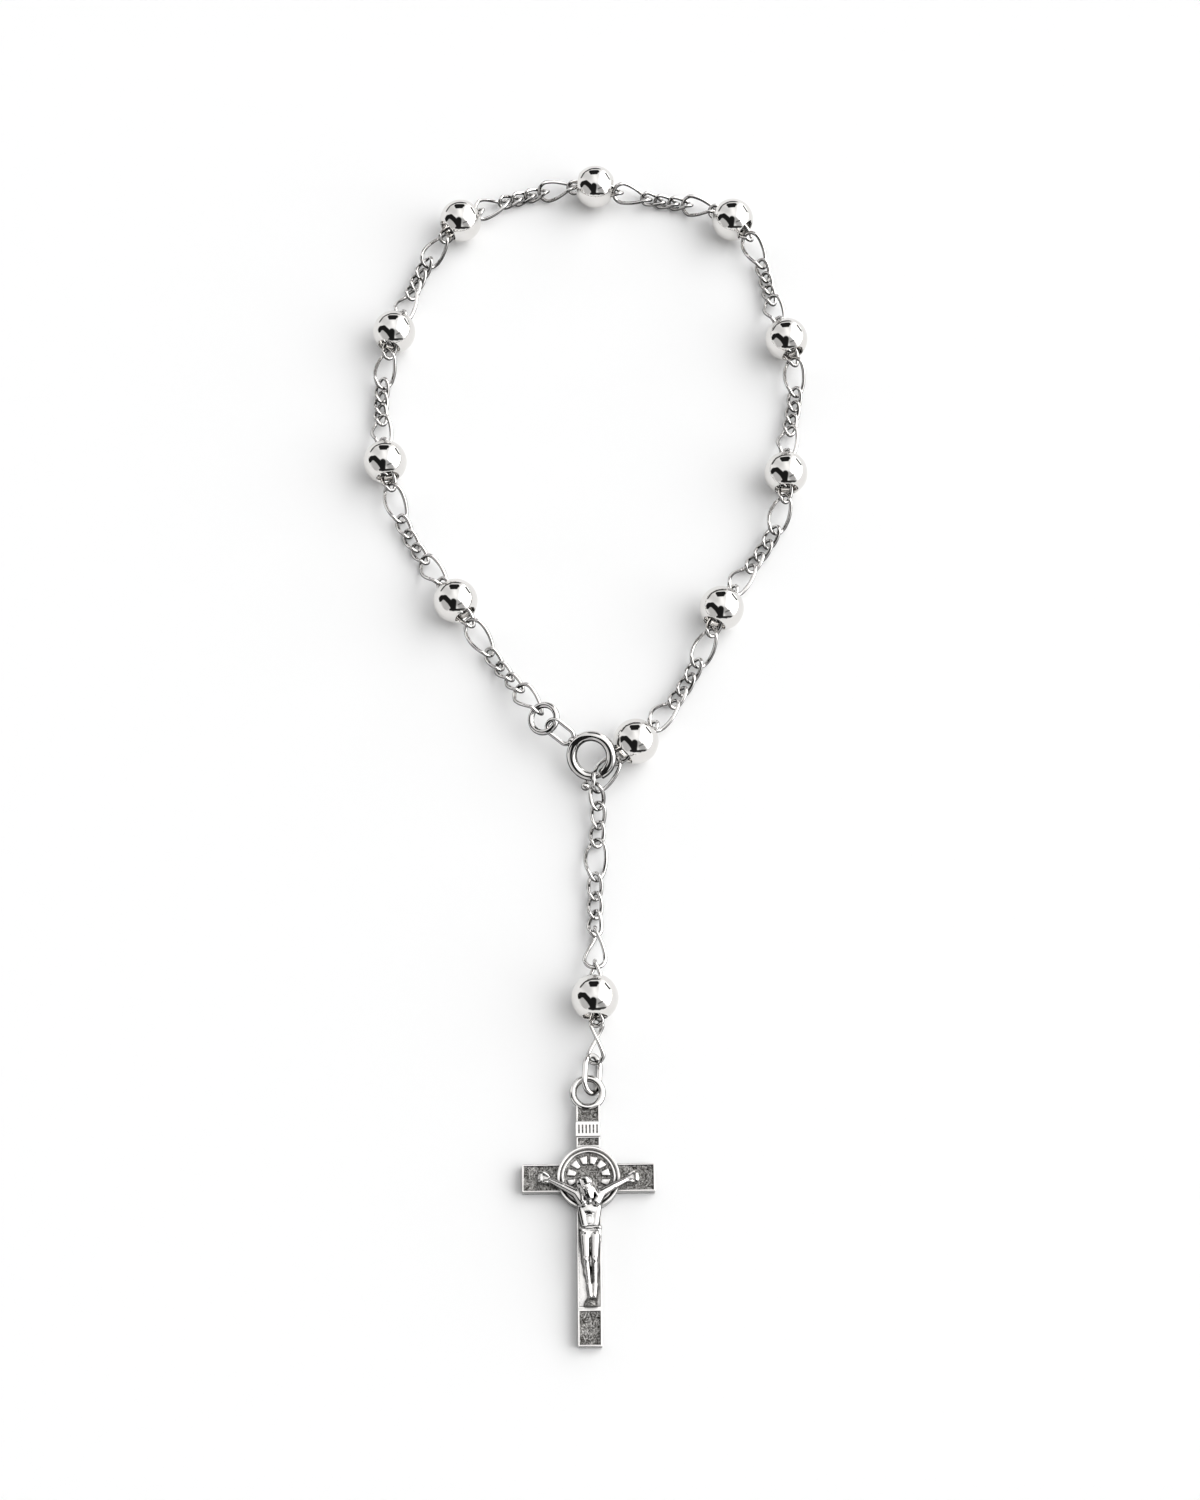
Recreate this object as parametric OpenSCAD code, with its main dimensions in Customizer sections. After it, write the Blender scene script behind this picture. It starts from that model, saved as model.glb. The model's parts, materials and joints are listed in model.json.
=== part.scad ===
// Rosary bracelet lying closed on a table: hollow beads on a figaro chain, a spring ring clasp,
// and a drop chain with one more bead and a crucifix. Millimetres, +Z up, the table is z = 0.
// X runs across the bracelet, Y from the crucifix towards the top of the loop.

/* [Chain] */
// Thickness of the chain's wire
wire_d = 0.45; // [0.42:0.01:0.47]
// Outer length of a small link
small_len = 3.3; // [3.2:0.05:3.4]
// Outer width of a small link
small_w = 1.85; // [1.8:0.05:1.95]
// Outer length of a long link
long_len = 5.1; // [4.9:0.05:5.3]
// Outer width of a long link
long_w = 2.7; // [2.5:0.05:2.9]
// Twist of each link from one end to the other
link_twist = 90; // [80:2:100]
// Play between two links pulled tight
link_play = 0.3; // [0.26:0.01:0.36]

/* [Beads] */
// Outer diameter of a bead
bead_d = 5; // [4.8:0.05:5.1]
// Thickness of a bead's shell
bead_wall = 0.3; // [0.25:0.05:0.5]
// Diameter of the hole drilled through a bead
bead_hole_d = 2.7; // [2.64:0.02:2.8]
// How far the drop's bead has slid down its chain
drop_slide = 0.6; // [0:0.1:0.6]

/* [Clasp] */
// Outer diameter of the spring ring
clasp_d = 5.6; // [5.4:0.05:5.8]
// Thickness of the spring ring's tube
clasp_tube_d = 1.15; // [1.1:0.01:1.2]
// Wall of the tube where the bolt slides in it
clasp_wall = 0.16; // [0.12:0.01:0.18]
// Running gap between the bolt and the tube's bore
bolt_play = 0.08; // [0.06:0.01:0.1]
// Length of the open gate, as an angle round the ring
gate_angle = 27; // [24:1:29]
// How far the trigger draws the bolt back
trigger_travel = 33; // [31:1:36]
// Diameter of the trigger's knob
knob_d = 1; // [0.8:0.05:1.1]
// Thickness of the post between the bolt and the knob
post_d = 0.44; // [0.35:0.01:0.5]
// Outer length of the eye soldered to the spring ring
eye_len = 3.8; // [3.6:0.1:4]
// Outer width of the eye
eye_w = 2.2; // [2.1:0.05:2.4]
// Thickness of the eye's wire
eye_wire_d = 0.5; // [0.45:0.01:0.52]
// Outer diameter of the jump ring at the clasp
jump_ring_d = 3.75; // [3.6:0.05:3.9]
// Thickness of the jump ring's wire
jump_wire_d = 0.7; // [0.6:0.02:0.74]

/* [Crucifix] */
// Width across the cross's arms
cross_w = 13.6; // [13:0.1:14.4]
// Length of the cross without its ring
cross_len = 24.5; // [24:0.1:26]
// Thickness of the cross
cross_t = 1.3; // [1.2:0.05:1.4]
// Width of the upright
upright_w = 2.45; // [2.3:0.05:2.7]
// Width of the arms
arm_w = 2.85; // [2.6:0.05:3.1]
// Distance from the top of the upright to the middle of the arms
arm_drop = 7.7; // [7.4:0.1:8.2]
// Outer diameter of the medal behind the figure
medal_d = 6.4; // [6:0.1:6.8]
// Width of the medal's raised rim
rim_w = 0.4; // [0.3:0.05:0.6]
// Height of the raised rims above the cross
rim_h = 0.25; // [0.15:0.05:0.35]
// Number of rays round the medal
ray_count = 28; // [20:1:32]
// Height of the blank plaque
plaque_h = 1.45; // [1.2:0.05:1.7]
// Distance from the top of the upright down to the plaque
plaque_drop = 2; // [1.8:0.05:2.2]
// Length of the sunk panels at the ends of the arms
arm_panel = 3.4; // [3:0.1:3.6]
// Length of the sunk panel at the foot
foot_panel = 3.6; // [3:0.1:3.8]
// Width of the edge left round a sunk panel
panel_edge = 0.28; // [0.2:0.02:0.36]
// Depth of the sunk panels
panel_depth = 0.2; // [0.1:0.05:0.3]
// Outer diameter of the cross's ring
bail_d = 3.75; // [3.6:0.05:4]
// Thickness of the cross's ring
bail_wire_d = 0.72; // [0.65:0.01:0.76]
// Outer length of the oval jump ring above the cross
oval_len = 4.5; // [4.4:0.05:4.9]
// Outer width of the oval jump ring
oval_w = 3; // [2.9:0.05:3.2]
// Thickness of the oval jump ring's wire
oval_wire_d = 0.6; // [0.5:0.02:0.62]

/* [Hidden] */

// The route of the loop, chosen by hand: the centre of each bead, from the clasp round by the right,
// and the heading of the chain there. It was laid out for a chain that measures DRAWN_GAP from bead
// to bead when it is pulled tight.
DRAWN_GAP = 20.4;
LOOP_ROUTE = [
    [5.3, -5.3, 47], [15, 10.8, 66], [22.7, 27.9, 92], [23.3, 45.75, 112], [17.33, 62.45, 138],
    [0.8, 67.2, 170.8], [-15.37, 62.31, 222.6], [-22.85, 46.77, 254.3], [-23.3, 29.4, 280], [-14.8, 11.7, 303]
];
TOP_BEAD = 5;
// How far the chain runs straight on as it leaves a bead.
CURVE_REACH = 1.2;

// The link in the first bead, from the clasp's side, the small link before it and the junction
// link before that: heading, height of the far joint, and roll about the link's length.
INNER = [47, 2.05, 6];
SPUR = [214.8, 1.92, -5.5];
JUNCTION = [240.4, 2.4, -18.2];

// The spring ring lies on the junction link's side, leaning up towards CLASP_RAISED.
CLASP_SIDE = [-1.445, 1.805, 0.55];
CLASP_TILT = 33.5;
CLASP_RAISED = 65;
GATE_MIDDLE = 281.5;
EYE_ANGLE = 139.8;
EYE_ROLL = 97.5;

// The jump ring at the clasp: where it lies from the eye, and its lean.
JUMP_ANGLE = 139.8;
JUMP_TILT = 25.3;
JUMP_RAISED = 25.7;

// Rolls of the last three links before the jump ring, and how much of the climb to the ring is left
// at the near end of the last link.
END_ROLLS = [-7, -1, -17];
END_CLIMB = 0.52;

// The drop chain from the junction link down, chosen by hand: kind of link (0 small, 1 long),
// heading, height of its lower joint, and roll about its length.
DROP_ROUTE = [
    [0, 277.9, 1.31, 5.5], [0, 269.9, 0.8, -8.3], [0, 264.3, 0.83, 0.8], [1, 268, 1.02, -4.6],
    [0, 270, 0.72, 0], [0, 270, 0.72, 5], [0, 270, 1.15, 15], [1, 270, 1.9, 45],
    [0, 270, 2.15, 45], [0, 270, 2.15, 50], [0, 275, 2, 65], [1, 268, 1.45, 82]
];
// The drop's bead is on this link of the drop, counted from 0.
DROP_BEAD_LINK = 9;

// The oval jump ring and the crucifix below the drop: the way from each to the next, how the ring
// itself lies and rolls, the slack between the two, and the crucifix's turn.
OVAL_HEADING = 258;
OVAL_LIE = 266;
OVAL_ROLL = -52;
CROSS_HEADING = 256;
CROSS_SLACK = 0.752;
CROSS_TURN = 0.7;

// Fineness of the meshed links, of the exact round parts and of the rounded relief.
LONG_SIDES = 14;
SMALL_SIDES = 12;
WIRE_SIDES = 5;
ROUND_FN = 64;
RELIEF_FN = 14;

// Turn of a bead's hole from its sphere's seam, which keeps the seam out of the hole.
SEAM_TURN = 45;

// The figure on the cross, as shares of its height from the hands to the feet: across, down from the
// hands, up from the cross's face, and radius. Its head leans towards the left arm of the picture.
HAND = [0.397, 0, 0.017, 0.033];
SHOULDER = [0.085, 0.155, 0.042, 0.038];
CROWN = [-0.01, 0.05, 0.063, 0.07];
CHIN = [0, 0.15, 0.063, 0.056];
CHEST = [0.045, 0.21, 0.025, 0.046];
WAIST = [0.025, 0.41, 0.021, 0.042];
CLOTH = [0.02, 0.465, 0.025, 0.058];
HIP = [0.034, 0.48, 0.029, 0.04];
KNEE = [0.026, 0.72, 0.03, 0.032];
FOOT = [0.014, 0.99, 0.021, 0.025];
FOOT_REST = [0, 1.06, 0, 0.058];

// Gap between a link and the floor.
floor_gap = 0.02;
// Gap between a link and the edge of a bead's hole, and between two rings that hang together.
hole_play = 0.1;
ring_play = 0.1;
// In the clasp: how far the bolt's tip sits in the tube, how far the bolt runs on behind its post,
// the play at its ends and in the slot, the post's place before the gate, and the knob's clearance.
tip_len = 0.3;
back_len = 0.25;
end_play = 0.1;
slot_play = 0.06;
post_set = 0.5;
knob_gap = 0.12;
// How far a drilled hole or a cut runs past the surface it opens.
overcut = 0.5;
// How far a link at a bead's mouth hangs below the link inside the bead.
mouth_sag = 0.1 * small_w;

wire_r = wire_d / 2;
small_pitch = small_len - 2 * wire_d - link_play;
long_pitch = long_len - 2 * wire_d - link_play;
tight_gap = 6 * small_pitch + 2 * long_pitch;
stretch = tight_gap / DRAWN_GAP;

// Form of a link: how square its ends are, and how soon from each end its twist begins.
LINK_FULLNESS = 0.5;
TWIST_SPAN = 1.5;

// Heights of the chain: on the floor between the beads, and at rest in the drilled holes.
small_height = half_height(small_w) + floor_gap;
long_height = half_height(long_w) + floor_gap;
hole_reach = bead_hole_d / 2 - hole_play - wire_r;
corner = (small_w - wire_d) / 2 * sin(link_twist / 2);
hole_height = bead_d / 2 + corner - sqrt(pow(hole_reach, 2) - pow(corner, 2));
mouth_height = hole_height - mouth_sag;
CLIMB = [
    [0, hole_height],
    [small_pitch / 2, hole_height],
    [1.5 * small_pitch, mouth_height],
    [1.5 * small_pitch + long_pitch, long_height],
    [2.5 * small_pitch + long_pitch, small_height]
];

function unit(v) = v / norm(v);
function flat(p) = [p.x, p.y];
function polar(r, heading) = [r * cos(heading), r * sin(heading)];
function half_height(width) = wire_r + max([for (t = [90:5:180]) link_spine(0, width, t).z]);

// The middle line of a link and the way its face points, at angle t round it.
function link_turn(t) = -link_twist / 2 * max(-1, min(1, TWIST_SPAN * cos(t)));
function link_spine(length, width, t) =
    let (
        across = (width - wire_d) / 2 * sign(sin(t)) * pow(abs(sin(t)), LINK_FULLNESS),
        turn = link_turn(t)
    )
    [(length - wire_d) / 2 * cos(t), across * cos(turn), across * sin(turn)];
function link_ring(length, width, t) =
    let (
        along = unit(link_spine(length, width, t + 1) - link_spine(length, width, t - 1)),
        face = [0, -sin(link_turn(t)), cos(link_turn(t))],
        up = unit(face - (face * along) * along),
        side = cross(along, up)
    )
    [for (k = [0:WIRE_SIDES - 1]) let (turn = 360 * (k + 0.5) / WIRE_SIDES)
        link_spine(length, width, t) + wire_r * (cos(turn) * up + sin(turn) * side)];

// Places on the loop: a bead's centre, and a smooth curve from one bead to the next.
function bead_centre(i) =
    let (first = flat(LOOP_ROUTE[0])) first + stretch * (flat(LOOP_ROUTE[i]) - first);
function bead_heading(i) = LOOP_ROUTE[i].z;
function curve_point(p, q, from, to, t) =
    let (reach = CURVE_REACH * norm(q - p))
    (2 * pow(t, 3) - 3 * pow(t, 2) + 1) * p + (pow(t, 3) - 2 * pow(t, 2) + t) * polar(reach, from)
    + (3 * pow(t, 2) - 2 * pow(t, 3)) * q + (pow(t, 3) - pow(t, 2)) * polar(reach, to);
function curve(p, q, from, to) = [for (k = [0:24]) curve_point(p, q, from, to, k / 24)];
function run_lengths(points) =
    [for (k = 0, run = 0; k < len(points);
          run = run + (k + 1 < len(points) ? norm(points[k + 1] - points[k]) : 0), k = k + 1) run];
function along_curve(points, runs, d) = [
    lookup(d, [for (k = [0:len(points) - 1]) [runs[k], points[k].x]]),
    lookup(d, [for (k = [0:len(points) - 1]) [runs[k], points[k].y]])
];

// The joints between links, along the curve between two beads. The links share what the chain has
// left when it isn't pulled tight, and those inside a bead take half a share.
function gap_runs(total, closing) =
    let (
        smalls = closing ? 4.5 : 6,
        inside = smalls - 3,
        slack = (smalls * small_pitch + 2 * long_pitch - total) / (5 + 0.5 * inside),
        in_bead = small_pitch - 0.5 * slack,
        s = small_pitch - slack,
        long = long_pitch - slack,
        mouth = 1.5 * in_bead
    )
    concat(
        [0.5 * in_bead, mouth, mouth + long, mouth + long + s, mouth + long + 2 * s,
         mouth + long + 3 * s, mouth + 2 * long + 3 * s],
        closing ? [] : [mouth + 2 * long + 3 * s + in_bead]
    );
function gap_joints(i) =
    let (
        points = curve(bead_centre(i), bead_centre(i + 1), bead_heading(i), bead_heading(i + 1)),
        runs = run_lengths(points),
        total = runs[len(runs) - 1]
    )
    [for (d = gap_runs(total, false))
        let (p = along_curve(points, runs, d)) [p.x, p.y, lookup(min(d, total - d), CLIMB)]];

// The first bead's near side and the junction link, which hangs from it beside the clasp.
first_inner = let (p = bead_centre(0) - polar(small_pitch / 2, INNER[0])) [p.x, p.y, INNER[1]];
function step(from, length, heading, height) =
    let (drop = height - from.z, run = sqrt(pow(length, 2) - pow(drop, 2)))
    [from.x + run * cos(heading), from.y + run * sin(heading), height];
first_outer = step(first_inner, small_pitch, SPUR[0], SPUR[1]);
junction_end = step(first_outer, long_pitch, JUNCTION[0], JUNCTION[1]);
junction_centre = (first_outer + junction_end) / 2;

// The spring ring closes over the junction link's side, so its centre follows that link.
clasp_mid_r = (clasp_d - clasp_tube_d) / 2;
hook_seat = 0.056 * long_w;
clasp_centre = junction_centre + (clasp_mid_r + hook_seat) * unit(CLASP_SIDE);

// The trigger's bolt slides in the tube and bridges the gate; its tip sits in the tube beyond it.
bore_r = clasp_tube_d / 2 - clasp_wall;
bolt_r = bore_r - bolt_play;
gate_start = GATE_MIDDLE - gate_angle / 2;
gate_end = GATE_MIDDLE + gate_angle / 2;
function arc_angle(length) = length / clasp_mid_r * 180 / PI;
tip_seat = arc_angle(tip_len);
post_back = arc_angle(back_len);
slide_play = arc_angle(end_play);
post_angle = gate_start - arc_angle(post_set);
knob_r = clasp_d / 2 + knob_gap + knob_d / 2;

// The eye is soldered to the tube; the jump ring hangs in its far end.
eye_sink = 0.3 * clasp_tube_d;
eye_centre_r = clasp_d / 2 - eye_sink + eye_len / 2;
eye_hold_r = eye_centre_r + eye_len / 2 - eye_wire_d - ring_play - jump_wire_d / 2;
jump_mid_r = (jump_ring_d - jump_wire_d) / 2;

// A point given in the tilted plane of the spring ring or of a jump ring.
function tilted(p, tilt, toward) =
    let (axis = [sin(toward), -cos(toward), 0])
    p * cos(tilt) + cross(axis, p) * sin(tilt) + axis * (axis * p) * (1 - cos(tilt));
function in_plane(r, angle) = [r * cos(angle), r * sin(angle), 0];
eye_hold = clasp_centre + tilted(in_plane(eye_hold_r, EYE_ANGLE), CLASP_TILT, CLASP_RAISED);
jump_centre = eye_hold + tilted(in_plane(jump_mid_r, JUMP_ANGLE), JUMP_TILT, JUMP_RAISED);
chain_end = let (
    last = flat(bead_centre(len(LOOP_ROUTE) - 1)) - flat(jump_centre),
    hold_r = jump_mid_r - jump_wire_d / 2 - ring_play
) jump_centre + tilted(in_plane(hold_r, atan2(last.y, last.x)), JUMP_TILT, JUMP_RAISED);
closing_joints = let (
    i = len(LOOP_ROUTE) - 1,
    start = bead_centre(i),
    line = flat(chain_end) - start,
    points = curve(start, flat(chain_end), bead_heading(i), atan2(line.y, line.x)),
    runs = run_lengths(points),
    total = runs[len(runs) - 1],
    stops = gap_runs(total, true)
) [for (k = [0:len(stops) - 1])
    let (
        p = along_curve(points, runs, stops[k]),
        rise = lookup(total - stops[k], [[0, 1], [long_pitch, END_CLIMB], [long_pitch + 2 * small_pitch, 0]])
    ) [p.x, p.y, (1 - rise) * lookup(stops[k], CLIMB) + rise * chain_end.z]];

// Chains as lists of joints, with the kind of each link between them (0 small, 1 long).
GAP_KINDS = [1, 0, 0, 0, 1, 0, 0];
function gap_links(i) = let (
    joints = i < len(LOOP_ROUTE) - 1 ? gap_joints(i) : closing_joints,
    inner = i == 0 ? first_inner : let (before = gap_joints(i - 1)) before[len(before) - 1],
    plain = len(joints) - 1 - len(END_ROLLS),
    roll = [for (k = [0:len(joints) - 2])
        i < len(LOOP_ROUTE) - 1 || k < plain ? 0 : END_ROLLS[k - plain]],
    outer = [for (k = [0:len(joints) - 2])
        [joints[k], joints[k + 1], k == 0 ? 0 : GAP_KINDS[k - 1], roll[k]]]
) concat([[inner, joints[0], 0, i == 0 ? INNER[2] : 0]], outer);
right_links = concat(
    [[first_inner, first_outer, 0, SPUR[2]], [first_outer, junction_end, 1, JUNCTION[2]]],
    [for (i = [0:TOP_BEAD - 1]) each gap_links(i)]
);
left_links = [for (i = [TOP_BEAD:len(LOOP_ROUTE) - 1]) each gap_links(i)];
drop_joints = [for (k = 0, p = junction_end; k <= len(DROP_ROUTE);
    p = k < len(DROP_ROUTE)
        ? step(p, DROP_ROUTE[k][0] == 1 ? long_pitch : small_pitch, DROP_ROUTE[k][1], DROP_ROUTE[k][2])
        : p, k = k + 1) p];
drop_links = [for (k = [0:len(DROP_ROUTE) - 1])
    [drop_joints[k], drop_joints[k + 1], DROP_ROUTE[k][0], DROP_ROUTE[k][3]]];

// The drop's lower end: the oval jump ring's near branch passes under the cross's raised ring.
drop_end = drop_joints[len(drop_joints) - 1];
drop_bead_at = let (p = drop_joints[DROP_BEAD_LINK], q = drop_joints[DROP_BEAD_LINK + 1],
                    way = unit(flat(q) - flat(p)), c = (flat(p) + flat(q)) / 2 + drop_slide * way)
    [c.x, c.y, bead_d / 2];
oval_inner = oval_len / 2 - oval_wire_d;
oval_height = oval_wire_d / 2 + floor_gap + (oval_w - oval_wire_d) / 2 * sin(abs(OVAL_ROLL));
oval_centre = let (c = flat(drop_end) + polar(oval_inner - ring_play, OVAL_HEADING))
    [c.x, c.y, oval_height];
bail_r = (bail_d - bail_wire_d) / 2;
bail_height = oval_wire_d + floor_gap + ring_play + bail_wire_d / 2;
bail_centre = let (
    reach = oval_inner + bail_d / 2 - bail_wire_d - ring_play - CROSS_SLACK,
    c = flat(oval_centre) + polar(reach, CROSS_HEADING)
) [c.x, c.y, bail_height];

// One link as a closed wire, lying along X.
module link(length, width, sides) {
    rings = [for (i = [0:sides - 1]) link_ring(length, width, 360 * i / sides)];
    points = [for (ring = rings) each ring];
    faces = [for (i = [0:sides - 1], k = [0:WIRE_SIDES - 1])
        let (
            near = i * WIRE_SIDES,
            far = (i + 1) % sides * WIRE_SIDES,
            next = (k + 1) % WIRE_SIDES
        )
        each [[near + k, far + k, far + next], [near + k, far + next, near + next]]];
    polyhedron(points, faces);
}

// A run of links, each laid from one joint to the next.
module chain(links) {
    for (l = links) {
        way = l[1] - l[0];
        translate((l[0] + l[1]) / 2)
            rotate([l[3], -asin(way.z / norm(way)), atan2(way.y, way.x)])
                if (l[2] == 1) link(long_len, long_w, LONG_SIDES);
                else link(small_len, small_w, SMALL_SIDES);
    }
}

module bead(centre, heading) {
    color("silver")
        translate(centre)
            rotate([0, 0, heading - SEAM_TURN])
                difference() {
                    sphere(d = bead_d, $fn = ROUND_FN);
                    sphere(d = bead_d - 2 * bead_wall, $fn = ROUND_FN);
                    rotate([0, 90, SEAM_TURN])
                        cylinder(d = bead_hole_d, h = bead_d + 2 * overcut, center = true, $fn = ROUND_FN);
                }
}

module loop_bead(i) {
    c = bead_centre(i);
    bead([c.x, c.y, bead_d / 2], bead_heading(i));
}

module loop_chain_right() {
    color("gainsboro") chain(right_links);
}

module loop_chain_left() {
    color("gainsboro") chain(left_links);
}

module drop_chain() {
    color("gainsboro") chain(drop_links);
}

// A piece of round wire bent to an arc, between two angles.
module arc_wire(mid_r, wire, from, to) {
    rotate([0, 0, from])
        rotate_extrude(angle = to - from, $fn = ROUND_FN)
            translate([mid_r, 0])
                circle(d = wire, $fn = ROUND_FN / 2);
}

module round_ring(outer_d, wire) {
    rotate_extrude($fn = ROUND_FN)
        translate([(outer_d - wire) / 2, 0])
            circle(d = wire, $fn = ROUND_FN / 2);
}

// A loop of wire with straight sides and round ends, long along X.
module oval_ring(length, width, wire) {
    straight = length - width;
    for (end = [-1, 1])
        translate([end * straight / 2, 0, 0])
            arc_wire((width - wire) / 2, wire, -90 * end, 180 - 90 * end);
    for (side = [-1, 1])
        translate([0, side * (width - wire) / 2, 0])
            rotate([0, 90, 0])
                cylinder(d = wire, h = straight, center = true, $fn = ROUND_FN / 2);
}

// Lays a piece made flat on the ring's plane in its leaning place.
module lean(tilt, toward) {
    rotate(a = tilt, v = [sin(toward), -cos(toward), 0]) children();
}

module clasp_jump_ring() {
    color("silver")
        translate(jump_centre)
            lean(JUMP_TILT, JUMP_RAISED)
                round_ring(jump_ring_d, jump_wire_d);
}

// The hollow ring: open at the gate, bored for the bolt, slotted on the outside for the post.
module spring_ring() {
    post_half = arc_angle(post_d / 2 + slot_play);
    slot_start = post_angle - trigger_travel - post_half;
    slot_end = post_angle + post_half;
    color("silver")
        translate(clasp_centre)
            lean(CLASP_TILT, CLASP_RAISED) {
                difference() {
                    arc_wire(clasp_mid_r, clasp_tube_d, gate_end, gate_start + 360);
                    arc_wire(clasp_mid_r, 2 * bore_r, slot_start - post_back - slide_play,
                             gate_start + slide_play);
                    arc_wire(clasp_mid_r, 2 * bore_r, gate_end - slide_play,
                             gate_end + tip_seat + slide_play);
                    rotate([0, 0, slot_start])
                        rotate_extrude(angle = slot_end - slot_start, $fn = ROUND_FN)
                            translate([clasp_mid_r, -post_d / 2 - slot_play])
                                square([clasp_tube_d, post_d + 2 * slot_play]);
                }
                rotate([0, 0, EYE_ANGLE])
                    translate([eye_centre_r, 0, 0])
                        rotate([EYE_ROLL, 0, 0])
                            oval_ring(eye_len, eye_w, eye_wire_d);
            }
}

module spring_ring_trigger() {
    color("silver")
        translate(clasp_centre)
            lean(CLASP_TILT, CLASP_RAISED) {
                arc_wire(clasp_mid_r, 2 * bolt_r, post_angle - post_back, gate_end + tip_seat);
                rotate([0, 90, post_angle])
                    translate([0, 0, clasp_mid_r])
                        cylinder(d = post_d, h = knob_r - clasp_mid_r, $fn = ROUND_FN / 2);
                rotate([0, 0, post_angle])
                    translate([knob_r, 0, 0])
                        sphere(d = knob_d, $fn = ROUND_FN / 2);
            }
}

module cross_jump_ring() {
    color("silver")
        translate(oval_centre)
            rotate([OVAL_ROLL, 0, OVAL_LIE])
                oval_ring(oval_len, oval_w, oval_wire_d);
}

// The figure in low relief: a limb is a rounded rod between two of its points, on one side or across.
figure_len = 0.49 * cross_len;
module knuckle(p, side) {
    translate([side * p[0] * figure_len, arm_y - p[1] * figure_len, cross_t + p[2] * figure_len])
        sphere(r = p[3] * figure_len, $fn = RELIEF_FN);
}
module limb(p, q, side) {
    hull() {
        knuckle(p, side);
        knuckle(q, side);
    }
}

module figure() {
    for (side = [-1, 1]) {
        limb(HAND, SHOULDER, side);
        hull() {
            knuckle(HIP, side);
            knuckle(KNEE, side);
            knuckle(FOOT, side);
        }
    }
    limb(CROWN, CHIN, 1);
    hull() {
        for (side = [-1, 1]) {
            knuckle(CHEST, side);
            knuckle(WAIST, side);
        }
    }
    hull() {
        for (side = [-1, 1]) knuckle(CLOTH, side);
    }
}

// The top of the upright and the middle of the arms, below the middle of the cross's ring.
top_y = bail_wire_d / 2 - bail_r;
arm_y = top_y - arm_drop;

// A sunk panel between two heights on the upright, or between two places on an arm.
module panel(x1, x2, y1, y2) {
    translate([x1 + panel_edge, y1 + panel_edge, cross_t - panel_depth])
        cube([x2 - x1 - 2 * panel_edge, y2 - y1 - 2 * panel_edge, panel_depth + overcut]);
}

module cross_body() {
    foot_y = top_y - cross_len;
    half_u = upright_w / 2;
    plaque_y = top_y - plaque_drop - plaque_h;
    difference() {
        union() {
            translate([-half_u, foot_y, 0]) cube([upright_w, cross_len, cross_t]);
            translate([-cross_w / 2, arm_y - arm_w / 2, 0]) cube([cross_w, arm_w, cross_t]);
            translate([0, arm_y, 0]) cylinder(d = medal_d, h = cross_t, $fn = ROUND_FN);
        }
        panel(-half_u, half_u, plaque_y + plaque_h, top_y);
        panel(-half_u, half_u, arm_y + medal_d / 2, plaque_y);
        panel(-half_u, half_u, foot_y, foot_y + foot_panel);
        panel(-cross_w / 2, arm_panel - cross_w / 2, arm_y - arm_w / 2, arm_y + arm_w / 2);
        panel(cross_w / 2 - arm_panel, cross_w / 2, arm_y - arm_w / 2, arm_y + arm_w / 2);
    }
    translate([-half_u, plaque_y, 0]) cube([upright_w, plaque_h, cross_t + rim_h]);
    medal_relief();
    knuckle(FOOT_REST, 1);
}

// The medal's raised rim and the plain rays inside it.
module medal_relief() {
    rim_inner = medal_d / 2 - rim_w;
    translate([0, arm_y, 0]) {
        difference() {
            cylinder(d = medal_d, h = cross_t + rim_h, $fn = ROUND_FN);
            cylinder(r = rim_inner, h = cross_t + rim_h + overcut, $fn = ROUND_FN);
        }
        for (i = [0:ray_count - 1])
            rotate([0, 0, 360 * i / ray_count])
                translate([rim_inner - 2 * rim_w, -rim_w / 4, cross_t - rim_h])
                    cube([1.5 * rim_w, rim_w / 2, 1.5 * rim_h]);
    }
}

module crucifix() {
    color("lightgray")
        translate([bail_centre.x, bail_centre.y, 0])
            rotate([0, 0, CROSS_TURN]) {
                cross_body();
                figure();
                translate([0, 0, bail_height]) round_ring(bail_d, bail_wire_d);
            }
}

loop_bead(0);  // bead_01
loop_bead(1);  // bead_02
loop_bead(2);  // bead_03
loop_bead(3);  // bead_04
loop_bead(4);  // bead_05
loop_bead(5);  // bead_06
loop_bead(6);  // bead_07
loop_bead(7);  // bead_08
loop_bead(8);  // bead_09
loop_bead(9);  // bead_10
bead(drop_bead_at, DROP_ROUTE[DROP_BEAD_LINK][1]);  // drop_bead
loop_chain_right();
loop_chain_left();
drop_chain();
clasp_jump_ring();
spring_ring();
spring_ring_trigger();
cross_jump_ring();
crucifix();
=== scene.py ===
import json
import math
import bmesh
import bpy
import numpy as np
from mathutils import Matrix, Vector


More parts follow.
